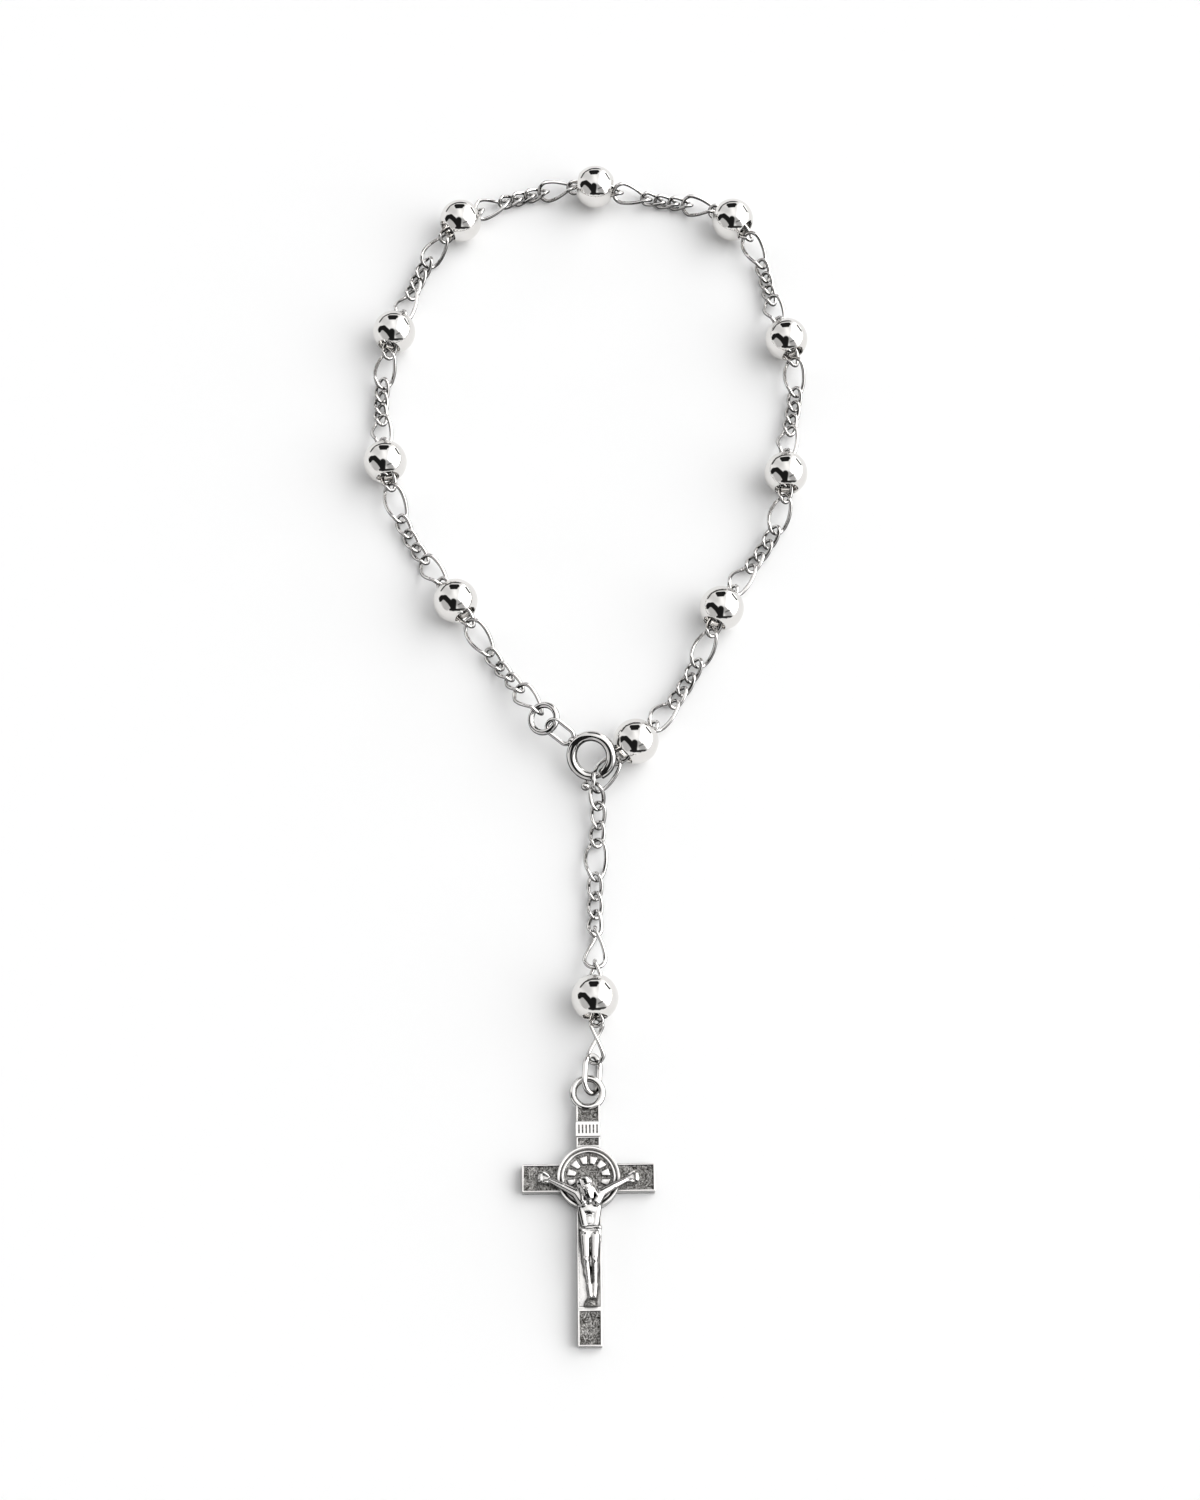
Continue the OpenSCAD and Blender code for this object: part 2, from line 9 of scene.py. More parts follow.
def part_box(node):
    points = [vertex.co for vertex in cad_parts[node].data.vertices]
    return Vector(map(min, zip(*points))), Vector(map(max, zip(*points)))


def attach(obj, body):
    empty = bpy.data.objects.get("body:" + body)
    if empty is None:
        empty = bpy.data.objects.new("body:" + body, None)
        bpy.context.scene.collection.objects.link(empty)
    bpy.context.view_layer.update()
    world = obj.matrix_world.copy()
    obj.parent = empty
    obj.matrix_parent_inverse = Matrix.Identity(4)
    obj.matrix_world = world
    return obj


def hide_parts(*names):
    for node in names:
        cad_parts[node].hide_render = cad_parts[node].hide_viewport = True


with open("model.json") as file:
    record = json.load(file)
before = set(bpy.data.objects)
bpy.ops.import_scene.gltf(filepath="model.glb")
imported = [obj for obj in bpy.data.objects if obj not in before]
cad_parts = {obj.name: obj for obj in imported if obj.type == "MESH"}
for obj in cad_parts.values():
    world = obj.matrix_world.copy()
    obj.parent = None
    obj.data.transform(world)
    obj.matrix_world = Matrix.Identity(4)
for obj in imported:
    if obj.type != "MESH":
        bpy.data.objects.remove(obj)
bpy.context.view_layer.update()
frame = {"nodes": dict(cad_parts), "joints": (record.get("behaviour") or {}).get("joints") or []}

# Everything is drawn at one unit to the millimetre and scaled to metres when it is done.
mm = 0.001
hair = 0.001  # mm, room for rounding where a point lies on a line
nearlyUp = 0.9  # a face whose normal's height is more than this lies flat
squareOn = 0.99  # the same for an end that is cut square


def clearSelection():
    bpy.ops.object.select_all(action="DESELECT")


def pick(piece):
    clearSelection()
    piece.select_set(True)
    bpy.context.view_layer.objects.active = piece


def added(name):
    # The piece that an operator has just made, with its name.
    piece = bpy.context.active_object
    piece.name = name
    piece.data.name = name
    return piece


def startEdit(piece, element):
    # Edit mode with nothing selected.
    if bpy.context.mode != "EDIT_MESH":
        pick(piece)
        bpy.ops.object.mode_set(mode="EDIT")
    bpy.ops.mesh.select_mode(type=element)
    bpy.ops.mesh.select_all(action="DESELECT")


def selectVerts(piece, test):
    # Vertices chosen by their place.
    startEdit(piece, "VERT")
    net = bmesh.from_edit_mesh(piece.data)
    for v in net.verts:
        v.select_set(test(v.co))
    net.select_flush(True)
    bmesh.update_edit_mesh(piece.data)


def selectFaces(piece, test):
    # Faces chosen by their middle and normal.
    startEdit(piece, "FACE")
    net = bmesh.from_edit_mesh(piece.data)
    for f in net.faces:
        f.select_set(test(f.calc_center_median(), f.normal))
    bmesh.update_edit_mesh(piece.data)


def selectEdges(piece, test):
    # Edges chosen by their two ends.
    startEdit(piece, "EDGE")
    net = bmesh.from_edit_mesh(piece.data)
    for e in net.edges:
        e.select_set(test(e.verts[0].co, e.verts[1].co))
    bmesh.update_edit_mesh(piece.data)


def leaveEdit():
    bpy.ops.object.mode_set(mode="OBJECT")


def cutThrough(piece, place, way, **settings):
    # A straight cut through the whole piece.
    selectVerts(piece, lambda co: True)
    bpy.ops.mesh.bisect(plane_co=place, plane_no=way, **settings)


def modify(piece, kind, **settings):
    pick(piece)
    modifier = piece.modifiers.new(kind.lower(), kind)
    for key, value in settings.items():
        setattr(modifier, key, value)
    bpy.ops.object.modifier_apply(modifier=modifier.name)


def roundEdges(piece, width, segments, angle, **settings):
    # Rounds the edges where faces meet at more than an angle in degrees.
    modify(piece, "BEVEL", width=width, segments=segments, limit_method="ANGLE",
           angle_limit=math.radians(angle), **settings)


def applyPlace(piece):
    pick(piece)
    bpy.ops.object.transform_apply(location=True, rotation=True, scale=True)


def join(pieces, name):
    clearSelection()
    for piece in pieces:
        piece.select_set(True)
    bpy.context.view_layer.objects.active = pieces[0]
    bpy.ops.object.join()
    return added(name)


def copyTo(master, place):
    # A copy with its own mesh, laid at a place given in millimetres.
    piece = master.copy()
    piece.data = master.data.copy()
    bpy.context.collection.objects.link(piece)
    piece.data.transform(place)
    return piece


def finishPiece(piece, body, material, nodes, smooth=None):
    # Smooth shading, metres, material, and its place in the frame.
    pick(piece)
    if smooth is None:
        bpy.ops.object.shade_smooth()
    else:
        bpy.ops.object.shade_smooth_by_angle(angle=math.radians(smooth))
    piece.data.transform(Matrix.Scale(mm, 4))
    if material is not None:
        piece.data.materials.clear()
        piece.data.materials.append(material)
    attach(piece, body)
    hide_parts(*nodes)


# Measuring the frame

def nodePoints(name):
    node = frame["nodes"][name]
    return np.array([(node.matrix_world @ v.co)[:] for v in node.data.vertices]) / mm


def islands(name):
    # The loose solids of a CAD node, as lists of points.
    node = frame["nodes"][name]
    net = bmesh.new()
    net.from_mesh(node.data)
    bmesh.ops.remove_doubles(net, verts=net.verts, dist=hair * mm)
    net.verts.ensure_lookup_table()
    seen, found = set(), []
    for start in net.verts:
        if start.index in seen:
            continue
        stack, points = [start], []
        seen.add(start.index)
        while stack:
            v = stack.pop()
            points.append((node.matrix_world @ v.co)[:])
            for e in v.link_edges:
                other = e.other_vert(v)
                if other.index not in seen:
                    seen.add(other.index)
                    stack.append(other)
        found.append(np.array(points) / mm)
    net.free()
    return found


def axesOf(points):
    # Middle and axes of a solid, its longest direction first.
    middle = points.mean(axis=0)
    spread, ways = np.linalg.eigh(np.cov((points - middle).T))
    order = np.argsort(spread)[::-1]
    x, y = Vector(ways[:, order[0]]), Vector(ways[:, order[1]])
    return Vector(middle), x, y, x.cross(y)


def placeMatrix(middle, x, y, z):
    turned = Matrix((x, y, z)).transposed().to_4x4()
    return Matrix.Translation(middle) @ turned


def farthest(points, middle):
    return Vector(points[np.argmax(np.linalg.norm(points - np.array(middle), axis=1))])


# Materials

def linear(hexColour):
    # One sRGB hex value turned to linear colour.
    parts = [int(hexColour[i:i + 2], 16) / 255 for i in (1, 3, 5)]
    return tuple(c / 12.92 if c <= 0.04045 else ((c + 0.055) / 1.055) ** 2.4 for c in parts) + (1.0,)


def addNode(tree, kind, links=None, **settings):
    # Adds one node: settings are its properties, links its sockets' values or what feeds them.
    node = tree.nodes.new(kind)
    for key, value in settings.items():
        setattr(node, key, value)
    for socket, value in (links or {}).items():
        if isinstance(value, bpy.types.NodeSocket):
            tree.links.new(value, node.inputs[socket])
        else:
            node.inputs[socket].default_value = value
    return node


def newMaterial(name):
    material = bpy.data.materials.new(name)
    material.use_nodes = True
    material.node_tree.nodes.clear()
    return material, material.node_tree


# The dark is the colour of oxide, and also of the painted shade on flanks and between parts.
silver = {"polished": "#EBE9E7", "toned": "#DFDDDA", "oxideAndShade": "#100F0E"}
beadLook = {"rough": 0.015, "roughHazy": 0.04, "haze": 1.4,  # the haze's spots in mm
            "scratch": 0.10, "scratchWidth": 0.06, "scratchDepth": 0.002}  # strength, then mm


def polishedSilver(name, look):
    # Sterling silver, buffed to a mirror: it shows the room, through hairlines from wear and a faint
    # uneven haze. Real hairlines are about 0.01 mm wide, and are drawn coarser so that they show.
    material, tree = newMaterial(name)
    place = addNode(tree, "ShaderNodeTexCoord").outputs["Object"]
    haze = addNode(tree, "ShaderNodeTexNoise", {
        "Vector": place, "Scale": 1 / (look["haze"] * mm), "Detail": 3.0, "Roughness": 0.6})
    rough = addNode(tree, "ShaderNodeMapRange", {
        "Value": haze.outputs["Fac"], "From Min": 0.35, "From Max": 0.7,
        "To Min": look["rough"], "To Max": look["roughHazy"]})
    stretch = addNode(tree, "ShaderNodeMapping", {
        "Vector": place, "Scale": (1.0, 0.12, 0.5), "Rotation": (0.4, 0.2, 0.9)})
    lines = addNode(tree, "ShaderNodeTexNoise", {
        "Vector": stretch.outputs["Vector"], "Scale": 1 / (look["scratchWidth"] * mm),
        "Detail": 2.0, "Roughness": 0.7})
    bump = addNode(tree, "ShaderNodeBump", {
        "Height": lines.outputs["Fac"], "Strength": look["scratch"], "Distance": look["scratchDepth"] * mm})
    tone = addNode(tree, "ShaderNodeMixRGB", {
        "Fac": haze.outputs["Fac"], "Color1": linear(silver["polished"]), "Color2": linear(silver["toned"])})
    shader = addNode(tree, "ShaderNodeBsdfPrincipled", {
        "Base Color": tone.outputs["Color"], "Metallic": 1.0, "Roughness": rough.outputs["Result"],
        "Normal": bump.outputs["Normal"]})
    addNode(tree, "ShaderNodeOutputMaterial", {"Surface": shader.outputs["BSDF"]})
    return material


# The hollows' reach in mm, and the shares of open sky where their darkening, tarnish and painted shade,
# is full and where it ends. The painted shade on the flanks: its darkness, and the heights of the normal
# where it is full and where it ends. Roughness on top and down in the hollows. The size and height of the
# skin's grain in mm, and its strength.
wireLook = {"reach": 0.45, "deepest": 0.3, "clear": 0.75, "flankShade": 0.93, "flankShadeFull": 0.42, "flankShadeEnd": 0.66,
            "rough": 0.03, "roughDeep": 0.3, "skinSize": 0.3, "skinHeight": 0.008, "skinBump": 0.25}
tubeLook = {"reach": 0.5, "deepest": 0.2, "clear": 0.65, "flankShade": 0.93, "flankShadeFull": 0.4, "flankShadeEnd": 0.62,
            "rough": 0.025, "roughDeep": 0.25, "skinSize": 0.5, "skinHeight": 0.006, "skinBump": 0.25}
castLook = {"reach": 0.6, "deepest": 0.35, "clear": 0.88, "flankShade": 0.6, "flankShadeFull": 0.2, "flankShadeEnd": 0.65,
            "rough": 0.10, "roughDeep": 0.5, "skinSize": 0.35, "skinHeight": 0.03, "skinBump": 0.25}
reliefLook = dict(castLook, deepest=0.5, clear=0.96, flankShade=0.95, flankShadeFull=0.4, flankShadeEnd=0.85)


def tarnishedShadedSilver(name, look):
    # Silver that rubbing keeps bright on top: darker and rougher down in the hollows, partly tarnish and
    # partly painted shade where parts stand close and shade each other, and painted shade along the flanks,
    # whose normals lie near level, which draws a dark outline round wire and relief.
    material, tree = newMaterial(name)
    coordinates = addNode(tree, "ShaderNodeTexCoord")
    # Little open sky nearby darkens the colour: tarnish in the hollows, and painted shade where parts touch.
    hollow = addNode(tree, "ShaderNodeAmbientOcclusion", {"Distance": look["reach"] * mm}, samples=6)
    depth = addNode(tree, "ShaderNodeMapRange", {
        "Value": hollow.outputs["AO"], "From Min": look["deepest"], "From Max": look["clear"],
        "To Min": 1.0, "To Max": 0.0})
    # Painted shade: faces whose normal lies near level are darkened towards black, whichever side they face.
    normal = addNode(tree, "ShaderNodeSeparateXYZ", {"Vector": coordinates.outputs["Normal"]})
    height = addNode(tree, "ShaderNodeMath", {0: normal.outputs["Z"]}, operation="ABSOLUTE")
    flankShade = addNode(tree, "ShaderNodeMapRange", {
        "Value": height.outputs["Value"], "From Min": look["flankShadeFull"], "From Max": look["flankShadeEnd"],
        "To Min": look["flankShade"], "To Max": 0.0})
    # The colour goes to the dark by the larger of the two: tarnish with painted shade, and painted flank
    # shade.
    tarnishAndShade = addNode(tree, "ShaderNodeMath", {0: depth.outputs["Result"], 1: flankShade.outputs["Result"]},
                      operation="MAXIMUM")
    tone = addNode(tree, "ShaderNodeMixRGB", {
        "Fac": tarnishAndShade.outputs["Value"], "Color1": linear(silver["polished"]),
        "Color2": linear(silver["oxideAndShade"])})
    rough = addNode(tree, "ShaderNodeMapRange", {
        "Value": depth.outputs["Result"], "To Min": look["rough"], "To Max": look["roughDeep"]})
    skin = addNode(tree, "ShaderNodeTexNoise", {
        "Vector": coordinates.outputs["Object"], "Scale": 1 / (look["skinSize"] * mm),
        "Detail": 4.0, "Roughness": 0.65})
    bump = addNode(tree, "ShaderNodeBump", {
        "Height": skin.outputs["Fac"], "Strength": look["skinBump"], "Distance": look["skinHeight"] * mm})
    shader = addNode(tree, "ShaderNodeBsdfPrincipled", {
        "Base Color": tone.outputs["Color"], "Metallic": 1.0, "Roughness": rough.outputs["Result"],
        "Normal": bump.outputs["Normal"]})
    addNode(tree, "ShaderNodeOutputMaterial", {"Surface": shader.outputs["BSDF"]})
    return material


panelLook = {"dark": "#393734", "worn": "#C6C4C1", "wornFrom": 0.42, "wornTo": 0.66, "rough": 0.42,
             "stipple": 0.16, "scrawl": 0.4, "height": 0.06, "bump": 0.9}  # the first three in mm


def oxidisedPanel(name, look):
    # The sunk grounds, stippled in the mould and blackened, with silver showing where the grain is rubbed.
    material, tree = newMaterial(name)
    place = addNode(tree, "ShaderNodeTexCoord").outputs["Object"]
    grain = addNode(tree, "ShaderNodeTexVoronoi", {
        "Vector": place, "Scale": 1 / (look["stipple"] * mm), "Randomness": 1.0})
    scrawl = addNode(tree, "ShaderNodeTexNoise", {
        "Vector": place, "Scale": 1 / (look["scrawl"] * mm), "Detail": 5.0, "Roughness": 0.75,
        "Distortion": 1.5})
    worn = addNode(tree, "ShaderNodeMapRange", {
        "Value": scrawl.outputs["Fac"], "From Min": look["wornFrom"], "From Max": look["wornTo"]})
    tone = addNode(tree, "ShaderNodeMixRGB", {
        "Fac": worn.outputs["Result"], "Color1": linear(look["dark"]), "Color2": linear(look["worn"])})
    height = addNode(tree, "ShaderNodeMath", {0: grain.outputs["Distance"], 1: scrawl.outputs["Fac"]},
                     operation="ADD")
    bump = addNode(tree, "ShaderNodeBump", {
        "Height": height.outputs["Value"], "Strength": look["bump"], "Distance": look["height"] * mm})
    shader = addNode(tree, "ShaderNodeBsdfPrincipled", {
        "Base Color": tone.outputs["Color"], "Metallic": 1.0, "Roughness": look["rough"],
        "Normal": bump.outputs["Normal"]})
    addNode(tree, "ShaderNodeOutputMaterial", {"Surface": shader.outputs["BSDF"]})
    return material


beadSilver = polishedSilver("mirrorPolishedSilver", beadLook)
chainSilver = tarnishedShadedSilver("drawnSilverWire", wireLook)
ringSilver = tarnishedShadedSilver("polishedSilverTube", tubeLook)
crossSilver = tarnishedShadedSilver("castSilver", castLook)
reliefSilver = tarnishedShadedSilver("castSilverRelief", reliefLook)
panelSilver = oxidisedPanel("oxidisedSilverGround", panelLook)
print("materials made")

# Chain

link = {"wire": 0.45, "smallLength": 3.3, "smallWidth": 1.85, "longLength": 5.1, "longWidth": 2.7,
        "twist": 90, "heldEnds": 0.17,  # degrees, and the share of each end that stays flat
        "floorGap": 0.01, "turns": 40, "sides": 12, "cuts": 8}


def ovalWire(name, length, width, wire, turns, sides, cuts):
    # A ring of round wire drawn out to an oval with straight sides, long along X.
    clearSelection()
    bpy.ops.mesh.primitive_torus_add(major_segments=turns, minor_segments=sides,
                                     major_radius=(width - wire) / 2, minor_radius=wire / 2)
    piece = added(name)
    reach = (length - width) / 2
    selectVerts(piece, lambda co: co.x > -hair)
    bpy.ops.transform.translate(value=(reach, 0, 0))
    selectVerts(piece, lambda co: co.x < reach - 2 * hair)
    bpy.ops.transform.translate(value=(-reach, 0, 0))
    selectEdges(piece, lambda a, b: abs(a.x - b.x) > reach)
    bpy.ops.mesh.subdivide(number_cuts=cuts)
    leaveEdit()
    return piece


def roundRing(name, outer, wire, middle=(0, 0, 0)):
    # A closed ring of round wire, lying flat.
    clearSelection()
    bpy.ops.mesh.primitive_torus_add(major_segments=96, minor_segments=28, location=middle,
                                     major_radius=(outer - wire) / 2, minor_radius=wire / 2)
    piece = added(name)
    applyPlace(piece)
    return piece


def makeLink(name, length, width):
    # One link of the chain, its two ends turned a quarter against each other.
    piece = ovalWire(name, length, width, link["wire"], link["turns"], link["sides"], link["cuts"])
    modify(piece, "SIMPLE_DEFORM", deform_method="TWIST", deform_axis="X",
           angle=-math.radians(link["twist"]), limits=(link["heldEnds"], 1 - link["heldEnds"]))
    return piece


smallLink = makeLink("smallLink", link["smallLength"], link["smallWidth"])
longLink = makeLink("longLink", link["longLength"], link["longWidth"])
longFrom = (link["smallLength"] + link["longLength"]) / 2
linkPlaces = []
for chainName in ("loop_chain_right", "loop_chain_left", "drop_chain"):
    copies = []
    for points in islands(chainName):
        middle, x, y, z = axesOf(points)
        linkPlaces.append((middle, x))
        length = np.ptp((points - np.array(middle)) @ np.array(x))
        copy = copyTo(longLink if length > longFrom else smallLink, placeMatrix(middle, x, y, z))
        lowest = min(v.co.z for v in copy.data.vertices)
        copy.data.transform(Matrix.Translation((0, 0, max(0, link["floorGap"] - lowest))))
        copies.append(copy)
    chain = join(copies, chainName + "_links")
    finishPiece(chain, "bracelet", chainSilver, [chainName])
    print(chainName, len(copies), "links")
for master in (smallLink, longLink):
    bpy.data.objects.remove(master)

# Beads

bead = {"diameter": 4.994, "wall": 0.3, "hole": 2.7, "lip": 0.07, "segments": 96, "rings": 72}


def makeBead(name):
    # A hollow ball, open at two opposite sides along Z, its edges rounded.
    clearSelection()
    bpy.ops.mesh.primitive_uv_sphere_add(segments=bead["segments"], ring_count=bead["rings"],
                                         radius=bead["diameter"] / 2)
    piece = added(name)
    height = math.sqrt((bead["diameter"] / 2) ** 2 - (bead["hole"] / 2) ** 2)
    for side in (1, -1):
        cutThrough(piece, (0, 0, side * height), (0, 0, side), clear_outer=True)
        leaveEdit()
    modify(piece, "SOLIDIFY", thickness=bead["wall"], offset=-1)
    roundEdges(piece, bead["lip"], 3, 50, harden_normals=True)
    return piece


beadMaster = makeBead("beadMaster")
for beadName in ["bead_%02d" % n for n in range(1, 11)] + ["drop_bead"]:
    low, high = [Vector(p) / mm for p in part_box(beadName)]
    middle = (low + high) / 2
    way = min(linkPlaces, key=lambda p: (p[0] - middle).length)[1]  # the hole lies along the nearest link
    hole = Vector((way.x, way.y, 0)).normalized()
    side = Vector((0, 0, 1)).cross(hole)
    beadBall = copyTo(beadMaster, placeMatrix(middle, Vector((0, 0, 1)), -side, hole))
    beadBall.name = beadName + "_ball"
    finishPiece(beadBall, "bracelet", beadSilver, [beadName], smooth=35)
bpy.data.objects.remove(beadMaster)
print("beads done")

# Clasp, in mm and in degrees round the ring

clasp = {
    "outer": 5.6, "tube": 1.15, "wall": 0.16, "edge": 0.03, "turns": 128, "sides": 40,
    "gate": 27, "travel": 33, "postSet": 0.5,  # degrees, degrees, mm from the post to the gate
    "boreShown": 0.25,  # how far the tube is hollow at its open ends
    "slotHalf": 0.3, "slotSpare": 7,  # half the slot's width, degrees past each end of the travel
    "bolt": 0.67, "boltTail": 6, "tipSeat": 0.3,  # the tail in degrees, and how far the tip enters the tube
    "knob": 1.0, "knobGap": 0.12, "post": 0.44,
    "eyeLength": 3.8, "eyeWidth": 2.2, "eyeWire": 0.5,
    "eyeSunk": 0.3, "eyeStart": 1.6,  # share of the tube, and where only the eye is left outside it
    "solder": 0.42, "solderShape": (1.0, 1.15, 0.9), "solderOut": 0.5,
    "jumpOuter": 3.75, "jumpWire": 0.7, "seamAt": 240, "seamDepth": 0.02,
}
joint = frame["joints"][0]
claspCentre = Vector(joint["pos_m"]) / mm
claspNormal = -Vector(joint["axis"]).normalized()
ringPoints = nodePoints("spring_ring")


def wayTo(point):
    # The direction from the ring's centre to a point, in the ring's plane.
    way = point - claspCentre
    return (way - way.dot(claspNormal) * claspNormal).normalized()


knobWay = wayTo(farthest(nodePoints("spring_ring_trigger"), claspCentre))
claspPlace = placeMatrix(claspCentre, knobWay, claspNormal.cross(knobWay), claspNormal)
claspMid = (clasp["outer"] - clasp["tube"]) / 2
perDegree = math.radians(claspMid)  # mm along the middle of the tube
gateFrom = clasp["postSet"] / perDegree
gateTo = gateFrom + clasp["gate"]


def bentRod(name, radius, fromAngle, toAngle, steps, sides):
    # A round rod bent about Z, from a circle spun round.
    clearSelection()
    start = math.radians(fromAngle)
    bpy.ops.mesh.primitive_circle_add(vertices=sides, radius=radius, fill_type="NGON",
                                      location=(claspMid * math.cos(start), claspMid * math.sin(start), 0),
                                      rotation=(math.pi / 2, 0, start))
    piece = added(name)
    applyPlace(piece)
    bpy.ops.object.mode_set(mode="EDIT")
    bpy.ops.mesh.select_all(action="SELECT")
    bpy.ops.mesh.spin(steps=steps, angle=-math.radians(toAngle - fromAngle), center=(0, 0, 0), axis=(0, 0, 1))
    bpy.ops.mesh.select_all(action="SELECT")
    bpy.ops.mesh.remove_doubles(threshold=hair / 2)
    bpy.ops.mesh.normals_make_consistent(inside=False)
    leaveEdit()
    return piece


def angleOf(co):
    return math.degrees(math.atan2(co.y, co.x)) % 360


def slotFace(co):
    # The outside of the tube where the post runs, from its place at rest back through its travel.
    back = (angleOf(co) + clasp["travel"] + clasp["slotSpare"]) % 360
    return (math.hypot(co.x, co.y) > claspMid + clasp["slotHalf"] and abs(co.z) < clasp["slotHalf"]
            and back < clasp["travel"] + 2 * clasp["slotSpare"])


def makeSpringRing():
    # The hollow ring with its open gate, and the slot that the post runs in.
    tube = bentRod("springRingTube", clasp["tube"] / 2, gateTo, gateFrom + 360, steps=clasp["turns"],
                   sides=clasp["sides"])
    for end, side in ((gateFrom, -1), (gateTo, 1)):
        inward = Vector((-math.sin(math.radians(end)), math.cos(math.radians(end)), 0)) * side
        selectFaces(tube, lambda co, n: n.dot(inward) < -squareOn and abs(angleOf(co) - end) < 1)
        bpy.ops.mesh.inset(thickness=clasp["wall"], depth=0)
        bpy.ops.mesh.extrude_region_move(TRANSFORM_OT_translate={"value": inward * clasp["boreShown"]})
    selectFaces(tube, lambda co, n: slotFace(co))
    bpy.ops.mesh.extrude_region_shrink_fatten(TRANSFORM_OT_shrink_fatten={"value": -clasp["wall"]})
    leaveEdit()
    roundEdges(tube, clasp["edge"], 2, 50)
    return tube


def makeEye():
    # The oval eye, leaning on the ring's plane, with the solder that holds it.
    reach = wayTo(farthest(ringPoints, claspCentre))
    turn = math.atan2(reach.dot(claspNormal.cross(knobWay)), reach.dot(knobWay))
    outside = claspMid + clasp["eyeStart"]
    far = [p for p in ringPoints if (Vector(p) - claspCentre).dot(reach) > outside]
    eyeFlat = axesOf(np.array(far))[2]
    roll = math.atan2(eyeFlat.dot(claspNormal), eyeFlat.dot(claspNormal.cross(reach)))
    turned = Matrix.Rotation(turn, 4, "Z")
    rolled = Matrix.Rotation(roll, 4, "X")
    eye = ovalWire("springRingEye", clasp["eyeLength"], clasp["eyeWidth"], clasp["eyeWire"], 40, 16, 6)
    out = clasp["outer"] / 2 - clasp["eyeSunk"] * clasp["tube"] + clasp["eyeLength"] / 2
    eye.data.transform(turned @ Matrix.Translation((out, 0, 0)) @ rolled)
    clearSelection()
    bpy.ops.mesh.primitive_uv_sphere_add(segments=24, ring_count=16, radius=clasp["solder"],
                                         location=(claspMid + clasp["solderOut"], 0, 0))
    solder = added("solder")
    bpy.ops.transform.resize(value=clasp["solderShape"])
    applyPlace(solder)
    solder.data.transform(turned @ rolled)
    return [eye, solder]


def makeTrigger():
    # The bolt that bridges the gate, its post, and the round knob that a nail draws back.
    tip = gateTo + clasp["tipSeat"] / perDegree
    bolt = bentRod("bolt", clasp["bolt"] / 2, -clasp["boltTail"], tip, steps=24, sides=24)
    knobAt = clasp["outer"] / 2 + clasp["knobGap"] + clasp["knob"] / 2
    clearSelection()
    bpy.ops.mesh.primitive_cylinder_add(vertices=24, radius=clasp["post"] / 2, depth=knobAt - claspMid,
                                        location=((knobAt + claspMid) / 2, 0, 0),
                                        rotation=(0, math.pi / 2, 0))
    post = added("post")
    applyPlace(post)
    clearSelection()
    bpy.ops.mesh.primitive_uv_sphere_add(segments=40, ring_count=28, radius=clasp["knob"] / 2,
                                         location=(knobAt, 0, 0), rotation=(0, math.pi / 2, 0))
    knob = added("knob")
    applyPlace(knob)
    return [bolt, post, knob]


springRing = join([makeSpringRing()] + makeEye(), "springRing")
springRing.data.transform(claspPlace)
finishPiece(springRing, "bracelet", ringSilver, ["spring_ring"], smooth=40)
trigger = join(makeTrigger(), "springRingTrigger")
trigger.data.transform(claspPlace)
finishPiece(trigger, "trigger", ringSilver, ["spring_ring_trigger"], smooth=40)

jumpRing = roundRing("claspJumpRing", clasp["jumpOuter"], clasp["jumpWire"])
selectVerts(jumpRing, lambda co: abs(angleOf(co) - clasp["seamAt"]) < 0.5)  # the closed seam of the ring
bpy.ops.transform.shrink_fatten(value=-clasp["seamDepth"])
leaveEdit()
jumpRing.data.transform(placeMatrix(*axesOf(nodePoints("clasp_jump_ring"))))
finishPiece(jumpRing, "bracelet", ringSilver, ["clasp_jump_ring"])
print("clasp done")

# Crucifix, drawn with the bail's centre at nought and the arms along X

cross = {
    "width": 13.6, "length": 24.5, "thick": 1.3, "upright": 2.45, "arm": 2.85, "armDrop": 7.7, "edge": 0.05,
    "armPanel": 4.2, "footPanel": 3.6, "strip": 0.12,  # the strip between the foot panel and the shaft
    "panelEdge": 0.17, "panelDepth": 0.2, "shaftDepth": 0.1,
    "proud": 0.25,  # how far the plaque and the medal stand proud
    "plaque": 1.45, "plaqueDrop": 2.0, "plaqueSpare": 0.06,
    "bars": 6, "barSpare": 0.6, "barHalf": 0.09, "barMargin": 0.27, "barEdge": 0.012, "barDepth": 0.14,
    "bail": 3.75, "bailWire": 0.72, "ovalLength": 4.5, "ovalWidth": 3.0, "ovalWire": 0.6,
}
medal = {
    "diameter": 6.4, "edge": 0.035,
    "steps": ((0.22, 0.0), (0.12, -0.2), (0.14, 0.2), (0.14, 0.0), (0.12, -0.2)),  # inward, then up or down
    "rays": 12, "rayFoot": 0.85, "rayTop": 0.66, "rayHeight": 0.36, "rayWidth": 0.72, "rayTaper": 0.55,
    "rayEdge": 0.09, "rayAt": 1.78, "rayLift": 0.02,
}
footRest = {"reach": 0.72, "aside": 0.1, "drop": 12.95, "sunk": 0.05, "root": 0.3, "shape": (1.0, 1.35, 0.85)}

